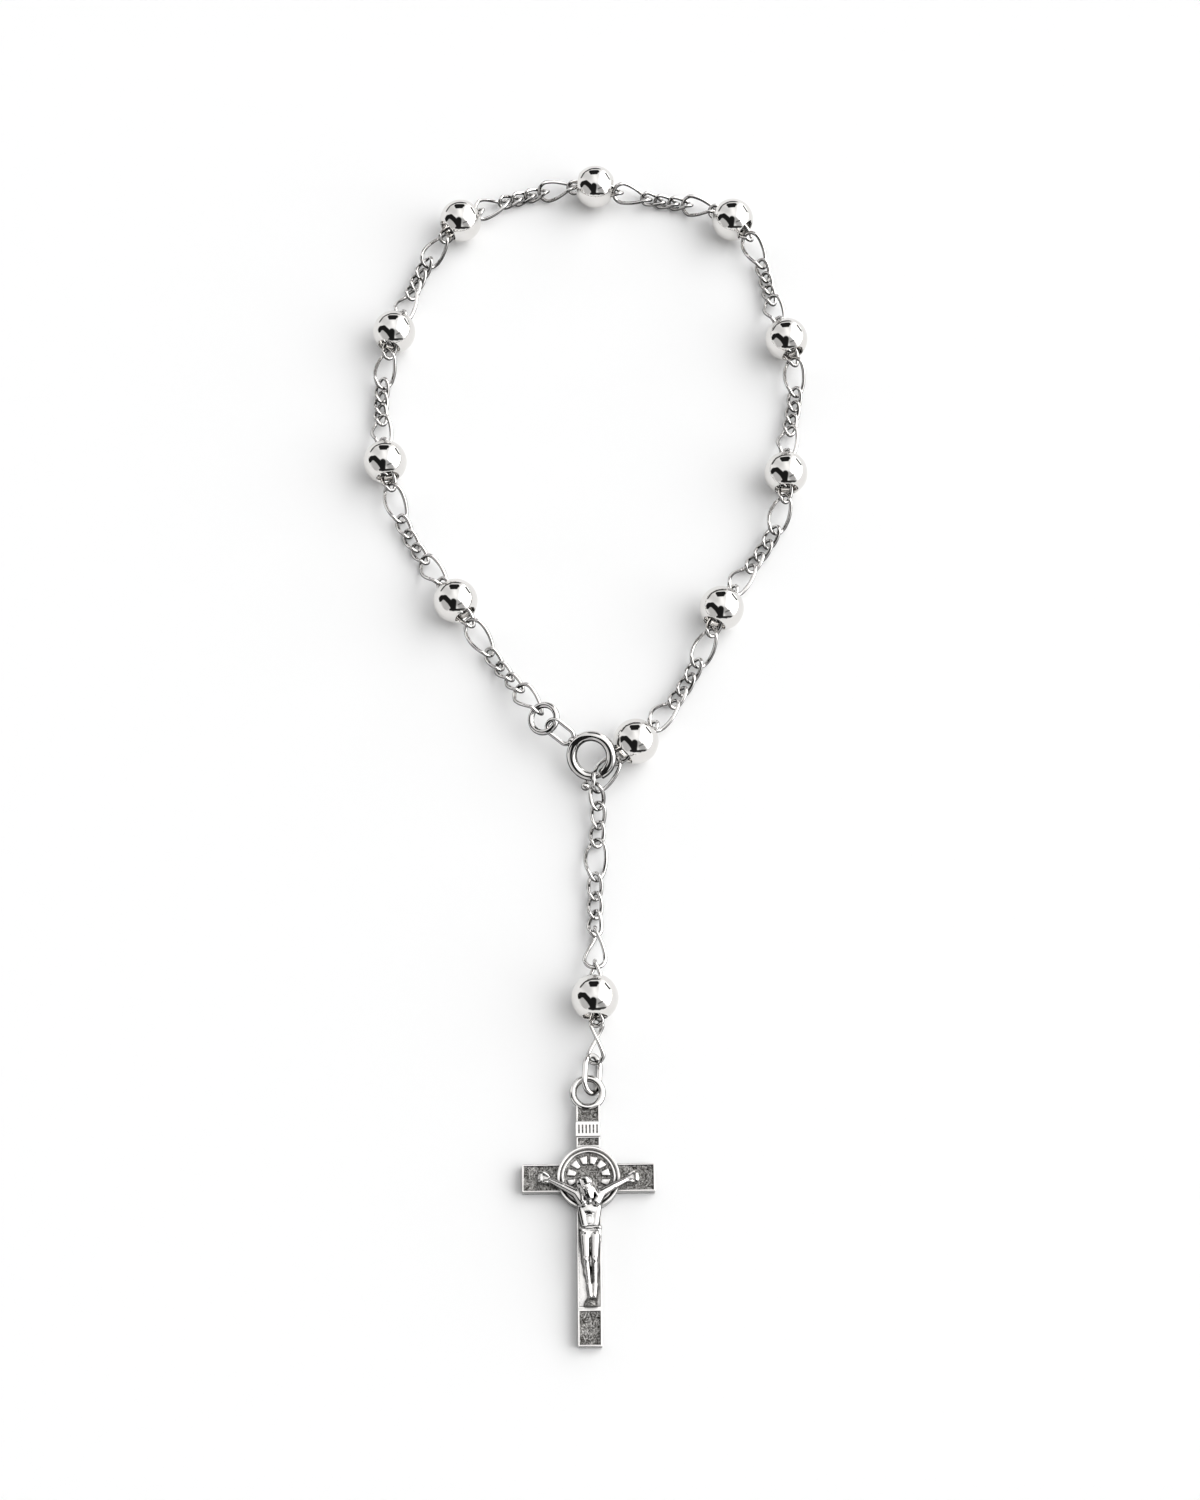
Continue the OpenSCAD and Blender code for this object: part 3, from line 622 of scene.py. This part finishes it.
crossPoints = nodePoints("crucifix")
crossTop, crossFoot = crossPoints[:, 1].max(), crossPoints[:, 1].min()
topPart = crossPoints[crossPoints[:, 1] > crossTop - cross["bail"] / 2]
footPart = crossPoints[crossPoints[:, 1] < crossFoot + 0.2]
bailCentre = Vector(((topPart[:, 0].min() + topPart[:, 0].max()) / 2, crossTop - cross["bail"] / 2, 0))
footMiddle = Vector(((footPart[:, 0].min() + footPart[:, 0].max()) / 2, crossFoot, 0))
crossTurn = math.atan2(footMiddle.x - bailCentre.x, bailCentre.y - footMiddle.y)
crossPlace = Matrix.Translation(bailCentre) @ Matrix.Rotation(crossTurn, 4, "Z")
bailHeight = (topPart[:, 2].min() + topPart[:, 2].max()) / 2
topY = cross["bailWire"] - cross["bail"] / 2
armY = topY - cross["armDrop"]
footY = topY - cross["length"]
plaqueTop = topY - cross["plaqueDrop"]
plaqueY = plaqueTop - cross["plaque"]
medalTop = armY + medal["diameter"] / 2
faceZ = cross["thick"]
proudZ = faceZ + cross["proud"]


def twoTone(piece):
    # Two finishes: plain cast silver all over, and the dark ground for the panels.
    piece.data.materials.append(crossSilver)
    piece.data.materials.append(panelSilver)


def slab(name, size, middle):
    # A squared bar of metal.
    clearSelection()
    bpy.ops.mesh.primitive_cube_add(size=1.0, location=middle)
    piece = added(name)
    bpy.ops.transform.resize(value=size)
    applyPlace(piece)
    twoTone(piece)
    return piece


def score(piece, places, axis):
    # Straight cuts across a piece, without removing anything.
    for place in places:
        cutThrough(piece, (place * axis[0], place * axis[1], 0), axis)
    leaveEdit()


def darken(piece):
    # Gives the selected faces the dark ground.
    piece.active_material_index = 1
    bpy.ops.object.material_slot_assign()


def sinkPanel(piece, test, edge, depth, dark=True):
    # Insets the chosen top faces and sinks them.
    selectFaces(piece, lambda co, n: n.z > nearlyUp and test(co))
    bpy.ops.mesh.inset(thickness=edge, depth=0)
    bpy.ops.mesh.extrude_region_move(TRANSFORM_OT_translate={"value": (0, 0, -depth)})
    if dark:
        darken(piece)
    leaveEdit()


def makeUpright():
    # The upright: three dark panels, and the plain shaft that the figure lies on.
    upright = slab("upright", (cross["upright"], cross["length"], faceZ), (0, (topY + footY) / 2, faceZ / 2))
    footTop = footY + cross["footPanel"]
    shaftY = footTop + cross["strip"]
    score(upright, (plaqueTop, plaqueY, medalTop, footTop, shaftY), (0, 1, 0))
    for low, high in ((plaqueTop, topY), (medalTop, plaqueY), (footY, footTop)):
        sinkPanel(upright, lambda co: low < co.y < high, cross["panelEdge"], cross["panelDepth"])
    sinkPanel(upright, lambda co: shaftY < co.y < medalTop, cross["panelEdge"], cross["shaftDepth"],
              dark=False)
    roundEdges(upright, cross["edge"], 3, 40)
    return upright


def makeArms():
    # The crossbar, with a dark panel on each arm.
    arms = slab("arms", (cross["width"], cross["arm"], faceZ), (0, armY, faceZ / 2))
    inner = cross["width"] / 2 - cross["armPanel"]
    score(arms, (-inner, inner), (1, 0, 0))
    for side in (-1, 1):
        sinkPanel(arms, lambda co: co.x * side > inner, cross["panelEdge"], cross["panelDepth"])
    roundEdges(arms, cross["edge"], 3, 40)
    return arms


def makePlaque():
    # The title plaque, without letters: plain upright bars in their place.
    plaque = slab("plaque", (cross["upright"] + cross["plaqueSpare"], cross["plaque"], proudZ),
                  (0, plaqueY + cross["plaque"] / 2, proudZ / 2))
    step = cross["upright"] / (cross["bars"] + cross["barSpare"])
    bars = [(n - (cross["bars"] - 1) / 2) * step for n in range(cross["bars"])]
    half = cross["barHalf"]
    low, high = plaqueY + cross["barMargin"], plaqueTop - cross["barMargin"]
    score(plaque, [bar - half for bar in bars] + [bar + half for bar in bars], (1, 0, 0))
    score(plaque, (low, high), (0, 1, 0))
    sinkPanel(plaque, lambda co: any(abs(co.x - bar) < half for bar in bars) and low < co.y < high,
              cross["barEdge"], cross["barDepth"])
    return plaque


def makeMedal():
    # The round medal: a stepped rim and a sunk dark field.
    clearSelection()
    bpy.ops.mesh.primitive_cylinder_add(vertices=96, radius=medal["diameter"] / 2, depth=proudZ,
                                        location=(0, armY, proudZ / 2))
    disc = added("medal")
    applyPlace(disc)
    twoTone(disc)
    selectFaces(disc, lambda co, n: n.z > nearlyUp)
    for inward, rise in medal["steps"]:
        bpy.ops.mesh.inset(thickness=inward, depth=0)
        bpy.ops.transform.translate(value=(0, 0, rise))
    darken(disc)
    leaveEdit()
    roundEdges(disc, medal["edge"], 2, 30)
    return disc


def makeRays():
    # Plain blunt rays round the medal's field, narrower towards its middle.
    clearSelection()
    bpy.ops.mesh.primitive_cone_add(vertices=4, radius1=medal["rayFoot"], radius2=medal["rayTop"],
                                    depth=medal["rayHeight"], rotation=(0, 0, math.pi / 4))
    master = added("ray")
    bpy.ops.transform.resize(value=(1.0, medal["rayWidth"], 1.0))
    applyPlace(master)
    selectVerts(master, lambda co: co.x < 0)
    bpy.ops.transform.resize(value=(1, medal["rayTaper"], 1), center_override=(0, 0, 0))
    leaveEdit()
    modify(master, "BEVEL", width=medal["rayEdge"], segments=3)
    middle = Matrix.Translation((0, armY, faceZ + medal["rayLift"]))
    copies = []
    for n in range(medal["rays"]):
        turn = Matrix.Rotation(2 * math.pi * (n + 0.5) / medal["rays"], 4, "Z")
        copies.append(copyTo(master, middle @ turn @ Matrix.Translation((medal["rayAt"], 0, 0))))
    bpy.data.objects.remove(master)
    rays = join(copies, "rays")
    rays.data.materials.clear()
    rays.data.materials.append(reliefSilver)
    return rays


def makeFootRest():
    # The dark half-round rest under the feet.
    restY = armY - footRest["drop"]
    clearSelection()
    bpy.ops.mesh.primitive_uv_sphere_add(segments=40, ring_count=24, radius=footRest["reach"],
                                         location=(footRest["aside"], restY, faceZ - footRest["sunk"]))
    rest = added("footRest")
    bpy.ops.transform.resize(value=footRest["shape"])
    applyPlace(rest)
    cutThrough(rest, (0, restY, 0), (0, -1, 0), clear_outer=True, use_fill=True)
    cutThrough(rest, (0, 0, faceZ - footRest["root"]), (0, 0, -1), clear_outer=True, use_fill=True)
    leaveEdit()
    rest.data.materials.append(panelSilver)
    return rest


def makeBail():
    # The ring cast on the top of the cross.
    bail = roundRing("bail", cross["bail"], cross["bailWire"], (0, 0, bailHeight))
    bail.data.materials.append(ringSilver)
    return bail


crossParts = [makeUpright(), makeArms(), makePlaque(), makeMedal(), makeRays(), makeFootRest(), makeBail()]
crossBody = join(crossParts, "crossBody")
crossBody.data.transform(crossPlace)
finishPiece(crossBody, "bracelet", None, ["crucifix"], smooth=45)
print("cross done")

# The figure in low relief, modelled from limbs and masses that are then fused and smoothed. Its places
# are in millimetres: across, down from the middle of the arms, and up from the face of the cross.

figure = {"voxel": 0.055, "smooth": 3, "lean": 0.12, "head": 1.3, "headTurn": 20,
          "headAt": (-0.22, -1.25, 1.0), "fingers": 0.22, "toes": 0.13}
headPlace = (Matrix.Translation(Vector(figure["headAt"]) + Vector((0, armY, faceZ)))
             @ Matrix.Rotation(math.radians(figure["headTurn"]), 4, "Z") @ Matrix.Scale(figure["head"], 4))


def onCross(x, down, up):
    return Vector((x, armY + down, faceZ + up))


def onHead(x, y, up):
    return headPlace @ Vector((x, y, up))


def limb(start, end, startRadius, endRadius):
    # A tapered limb with round ends.
    way = end - start
    clearSelection()
    bpy.ops.mesh.primitive_cone_add(vertices=20, radius1=startRadius, radius2=endRadius, depth=way.length,
                                    location=(start + end) / 2,
                                    rotation=way.to_track_quat("Z", "Y").to_euler())
    parts = [added("limb")]
    for middle, radius in ((start, startRadius), (end, endRadius)):
        bpy.ops.mesh.primitive_uv_sphere_add(segments=20, ring_count=12, radius=radius, location=middle)
        parts.append(added("joint"))
    return parts


def mass(middle, radii, turn=0.0):
    # A rounded mass with three radii.
    clearSelection()
    bpy.ops.mesh.primitive_uv_sphere_add(segments=28, ring_count=18, radius=1.0, location=middle,
                                         rotation=(0, 0, turn))
    piece = added("mass")
    piece.scale = radii
    return [piece]


def armAndHand(side, shoulder):
    wrist = onCross(side * 3.85, -0.3, 0.34)
    elbow = onCross(side * 2.6, -0.95, 0.5)
    parts = limb(wrist, elbow, 0.28, 0.4) + limb(elbow, shoulder, 0.38, 0.5)
    parts += mass(onCross(side * 4.42, -0.12, 0.22), (0.62, 0.54, 0.17))
    parts += mass(onCross(side * 4.3, -0.44, 0.3), (0.4, 0.22, 0.24))
    # Four curled fingers, then the thumb.
    for n in range(4):
        row = (n - 1.5) * figure["fingers"]
        knuckle = onCross(side * 4.75, -0.04 + row, 0.24)
        bend = onCross(side * (5.08 - 0.05 * abs(n - 1)), -0.04 + row, 0.38)
        tip = onCross(side * 4.84, -0.04 + row * 0.9, 0.52)
        parts += limb(knuckle, bend, 0.17, 0.15) + limb(bend, tip, 0.14, 0.12)
    parts += limb(onCross(side * 4.15, 0.2, 0.3), onCross(side * 4.62, 0.5, 0.4), 0.18, 0.14)
    return parts


def chestSide(side, shoulder):
    # From the shoulder down the outer edge of the ribs, with three ribs across.
    parts = limb(shoulder, onCross(side * 0.72 + 0.05, -2.5, 0.55), 0.5, 0.58)
    parts += mass(onCross(side * 0.56 + 0.08, -2.85, 0.6), (0.58, 0.36, 0.26))
    parts += limb(onCross(side * 0.88 + 0.08, -2.8, 0.3), onCross(side * 0.5 + 0.12, -4.9, 0.3), 0.42, 0.4)
    for n in range(3):
        parts += limb(onCross(side * 0.26 + 0.08, -3.5 - 0.3 * n, 0.66 - 0.05 * n),
                      onCross(side * 0.95 + 0.08, -3.7 - 0.34 * n, 0.44 - 0.05 * n), 0.08, 0.06)
    return parts


def cloth():
    # The cloth, knotted at its right, with folds across it and an end that hangs.
    parts = limb(onCross(-0.8, -5.2, 0.52), onCross(1.0, -5.05, 0.55), 0.2, 0.2)
    parts += mass(onCross(0.12, -5.75, 0.34), (1.06, 0.7, 0.46))
    for n in range(4):
        parts += limb(onCross(-0.78 + 0.14 * n, -5.35 - 0.2 * n, 0.78 - 0.02 * n),
                      onCross(0.95, -5.45 - 0.3 * n, 0.7 - 0.03 * n), 0.11, 0.09)
    parts += mass(onCross(1.05, -5.15, 0.5), (0.26, 0.28, 0.3))
    parts += limb(onCross(1.06, -5.2, 0.46), onCross(1.1, -6.5, 0.3), 0.22, 0.14)
    return parts


def legAndFoot(side):
    lean = figure["lean"]
    hip = onCross(side * 0.5 + lean, -6.0, 0.42)
    knee = onCross(side * 0.43 + lean, -8.3, 0.72)
    ankle = onCross(side * 0.3 + lean + 0.14, -10.8, 0.36)
    toe = onCross(side * 0.2 + lean + 0.16, -11.95, 0.46)
    parts = limb(hip, knee, 0.52, 0.36) + limb(knee, ankle, 0.34, 0.24) + limb(ankle, toe, 0.3, 0.24)
    parts += mass(onCross(side * 0.43 + lean, -8.35, 0.92), (0.28, 0.36, 0.2))
    parts += mass(onCross(side * 0.4 + lean + 0.06, -9.25, 0.46), (0.36, 0.85, 0.3))
    for n in range(-1, 2):
        parts += limb(toe + Vector((n * figure["toes"], 0, 0.04)),
                      toe + Vector((n * (figure["toes"] + 0.02), -0.2, -0.04)), 0.1, 0.09)
    return parts


def head():
    # The head bows towards the left of the picture: hair, brow, cheeks, nose and beard, all plain.
    size = figure["head"]
    turn = math.radians(figure["headTurn"])
    parts = limb(onCross(0.02, -2.5, 0.6), onHead(0, -0.4, -0.15), 0.44, 0.42)
    parts += mass(onHead(0, 0, -0.05), (0.6 * size, 0.86 * size, 0.55 * size), turn)
    parts += mass(onHead(0, 0.42, -0.12), (0.72 * size, 0.58 * size, 0.52 * size), turn)
    for side in (-1, 1):
        for n in range(4):
            parts += limb(onHead(side * (0.26 + 0.13 * n), 0.72 - 0.15 * n, 0.24 - 0.12 * n),
                          onHead(side * (0.62 + 0.05 * n), -0.85 - 0.05 * n, 0.08 - 0.13 * n),
                          0.12 * size, 0.1 * size)
        parts += mass(onHead(side * 0.23, -0.05, 0.43), (0.15 * size, 0.08 * size, 0.05 * size), turn)
    parts += limb(onHead(0, 0.02, 0.48), onHead(0, -0.26, 0.58), 0.07 * size, 0.1 * size)
    parts += limb(onHead(-0.32, 0.15, 0.43), onHead(0.32, 0.15, 0.43), 0.08 * size, 0.08 * size)
    for n in range(5):
        side = (n - 2) / 2
        parts += limb(onHead(side * 0.32, -0.46, 0.36 - 0.12 * abs(side)), onHead(side * 0.18, -0.92, 0.22),
                      0.12 * size, 0.08 * size)
    return parts


def makeFigure():
    parts = []
    for side in (-1, 1):
        shoulder = onCross(side * 1.25 + 0.02, -1.7, 0.62)
        parts += armAndHand(side, shoulder) + chestSide(side, shoulder)
    parts += mass(onCross(0.08, -3.1, 0.42), (1.1, 0.9, 0.4))
    parts += mass(onCross(0.11, -4.4, 0.36), (0.78, 0.8, 0.36))
    parts += cloth() + legAndFoot(-1) + legAndFoot(1) + head()
    body = join(parts, "figure")
    applyPlace(body)
    modify(body, "REMESH", mode="VOXEL", voxel_size=figure["voxel"])
    modify(body, "SMOOTH", factor=0.5, iterations=figure["smooth"])
    body.data.materials.clear()
    body.data.materials.append(reliefSilver)
    return body


corpus = makeFigure()
corpus.data.transform(crossPlace)
finishPiece(corpus, "bracelet", None, ["crucifix"])
ovalRing = ovalWire("crossJumpRing", cross["ovalLength"], cross["ovalWidth"], cross["ovalWire"], 48, 20, 4)
ovalRing.data.transform(placeMatrix(*axesOf(nodePoints("cross_jump_ring"))))
finishPiece(ovalRing, "bracelet", ringSilver, ["cross_jump_ring"])
print("crucifix done")

# Camera and floor, in metres

camera = {"place": (0.00139, -0.10032, 0.23513), "tilt": 22.0,  # degrees
          "lens": 36.8, "sensor": 24.0, "nearest": 0.005}
cameraData = bpy.data.cameras.new("camera")
cameraData.sensor_fit = "VERTICAL"
cameraData.sensor_height = camera["sensor"]
cameraData.lens = camera["lens"]
cameraData.clip_start = camera["nearest"]
cameraObject = bpy.data.objects.new("camera", cameraData)
cameraObject.location = camera["place"]
cameraObject.rotation_euler = (math.radians(camera["tilt"]), 0, 0)
bpy.context.collection.objects.link(cameraObject)
bpy.context.scene.camera = cameraObject

card = {"size": 3.0, "colour": "#FCFCFC", "rough": 0.9}
clearSelection()
bpy.ops.mesh.primitive_plane_add(size=card["size"])
floor = added("floor")
floorMaterial, floorTree = newMaterial("whiteCard")
floorShader = addNode(floorTree, "ShaderNodeBsdfPrincipled", {
    "Base Color": linear(card["colour"]), "Roughness": card["rough"]})
addNode(floorTree, "ShaderNodeOutputMaterial", {"Surface": floorShader.outputs["BSDF"]})
floor.data.materials.append(floorMaterial)

# The light tent round the table, painted in the world: a big window light on the right, grey walls,
# and the dark things that polished silver shows, such as the stand and the open front. Each stroke has
# its start and end as they show on a mirror ball seen from the camera's side (across and up, from -1
# to 1), then its half width, the softness of its edge, and how bright it is.
studio = {
    "wall": 0.74, "strength": 1.36, "backdrop": "#F4F4F4",
    "lights": [
        ((0.52, 0.48), (0.46, 0.05), 0.28, 0.09, 2.1),
        ((0.62, -0.12), (0.48, 0.15), 0.2, 0.05, 2.1),
        ((0.0, 0.36), (0.05, 0.2), 0.10, 0.10, 0.95),
    ],
    "greys": [
        ((-0.45, 0.5), (-0.3, 0.36), 0.16, 0.12, 0.58),
        ((-0.48, -0.08), (-0.38, -0.3), 0.15, 0.05, 0.42),
        ((0.12, -0.12), (0.3, -0.28), 0.14, 0.06, 0.36),
    ],
    "darks": [
        ((-0.19, 0.63), (0.1, 0.64), 0.08, 0.015, 0.012),
        ((-0.17, 0.54), (0.06, 0.55), 0.06, 0.015, 0.012),
        ((-0.62, 0.44), (-0.45, 0.66), 0.035, 0.02, 0.04),
        ((-0.45, 0.66), (-0.15, 0.79), 0.032, 0.015, 0.04),
        ((-0.15, 0.79), (0.2, 0.80), 0.035, 0.015, 0.03),
        ((0.45, 0.61), (0.64, 0.36), 0.04, 0.02, 0.04),
        ((0.82, 0.0), (0.83, -0.05), 0.02, 0.015, 0.1),
        ((-0.66, 0.04), (-0.58, 0.13), 0.10, 0.02, 0.01),
        ((-0.58, 0.13), (-0.44, 0.13), 0.105, 0.02, 0.01),
        ((-0.44, 0.13), (-0.28, -0.03), 0.11, 0.02, 0.01),
        ((-0.28, -0.03), (-0.14, -0.25), 0.10, 0.02, 0.01),
        ((-0.06, -0.06), (-0.08, -0.36), 0.135, 0.03, 0.01),
        ((-0.22, -0.42), (0.2, -0.44), 0.05, 0.02, 0.012),
        ((0.14, -0.42), (0.44, -0.4), 0.045, 0.025, 0.03),
        ((0.16, -0.2), (0.32, -0.12), 0.03, 0.025, 0.1),
    ],
}
world = bpy.data.worlds.new("studio")
bpy.context.scene.world = world
world.use_nodes = True
world.cycles.sampling_method = "NONE"  # broad soft light, found quickly enough by chance
worldTree = world.node_tree
worldTree.nodes.clear()
tiltAngle = math.radians(camera["tilt"])
towards = (0, -math.sin(tiltAngle), math.cos(tiltAngle))
upward = (0, math.cos(tiltAngle), math.sin(tiltAngle))
# The place on the mirror ball where a direction shows is halfway between it and the camera's.
direction = addNode(worldTree, "ShaderNodeTexCoord").outputs["Generated"]
summed = addNode(worldTree, "ShaderNodeVectorMath", {0: direction, 1: towards}, operation="ADD")
halfway = addNode(worldTree, "ShaderNodeVectorMath", {0: summed.outputs["Vector"]}, operation="NORMALIZE")
across = addNode(worldTree, "ShaderNodeVectorMath", {0: halfway.outputs["Vector"], 1: (1, 0, 0)},
                 operation="DOT_PRODUCT")
up = addNode(worldTree, "ShaderNodeVectorMath", {0: halfway.outputs["Vector"], 1: upward},
             operation="DOT_PRODUCT")
ballPlace = addNode(worldTree, "ShaderNodeCombineXYZ", {
    "X": across.outputs["Value"], "Y": up.outputs["Value"]}).outputs["Vector"]


def paintStroke(below, start, end, reach, soft, value):
    # A straight stroke with round ends: how far each place lies from its middle line.
    begin = Vector((*start, 0))
    way = Vector((*end, 0)) - begin
    fromStart = addNode(worldTree, "ShaderNodeVectorMath", {0: ballPlace, 1: begin}, operation="SUBTRACT")
    along = addNode(worldTree, "ShaderNodeVectorMath", {
        0: fromStart.outputs["Vector"], 1: way / way.length_squared}, operation="DOT_PRODUCT")
    held = addNode(worldTree, "ShaderNodeClamp", {"Value": along.outputs["Value"]})
    nearest = addNode(worldTree, "ShaderNodeVectorMath", {0: way, "Scale": held.outputs["Result"]},
                      operation="SCALE")
    away = addNode(worldTree, "ShaderNodeVectorMath", {
        0: fromStart.outputs["Vector"], 1: nearest.outputs["Vector"]}, operation="DISTANCE")
    mask = addNode(worldTree, "ShaderNodeMapRange", {
        "Value": away.outputs["Value"], "From Min": reach - soft, "From Max": reach + soft,
        "To Min": 1.0, "To Max": 0.0}, interpolation_type="SMOOTHSTEP")
    return addNode(worldTree, "ShaderNodeMixRGB", {
        "Fac": mask.outputs["Result"], "Color1": below, "Color2": (value, value, value, 1)}).outputs["Color"]


shown = (studio["wall"], studio["wall"], studio["wall"], 1)
for stroke in studio["lights"] + studio["greys"] + studio["darks"]:
    shown = paintStroke(shown, *stroke)
tent = addNode(worldTree, "ShaderNodeBackground", {"Color": shown, "Strength": studio["strength"]})
# Straight behind the bracelet stands a plain pale backdrop.
backdrop = addNode(worldTree, "ShaderNodeBackground", {"Color": linear(studio["backdrop"]), "Strength": 1.0})
seen = addNode(worldTree, "ShaderNodeLightPath").outputs["Is Camera Ray"]
sky = addNode(worldTree, "ShaderNodeMixShader", {
    0: seen, 1: tent.outputs["Background"], 2: backdrop.outputs["Background"]})
addNode(worldTree, "ShaderNodeOutputWorld", {"Surface": sky.outputs["Shader"]})
bpy.context.scene.view_settings.view_transform = "Standard"

print("scene made")
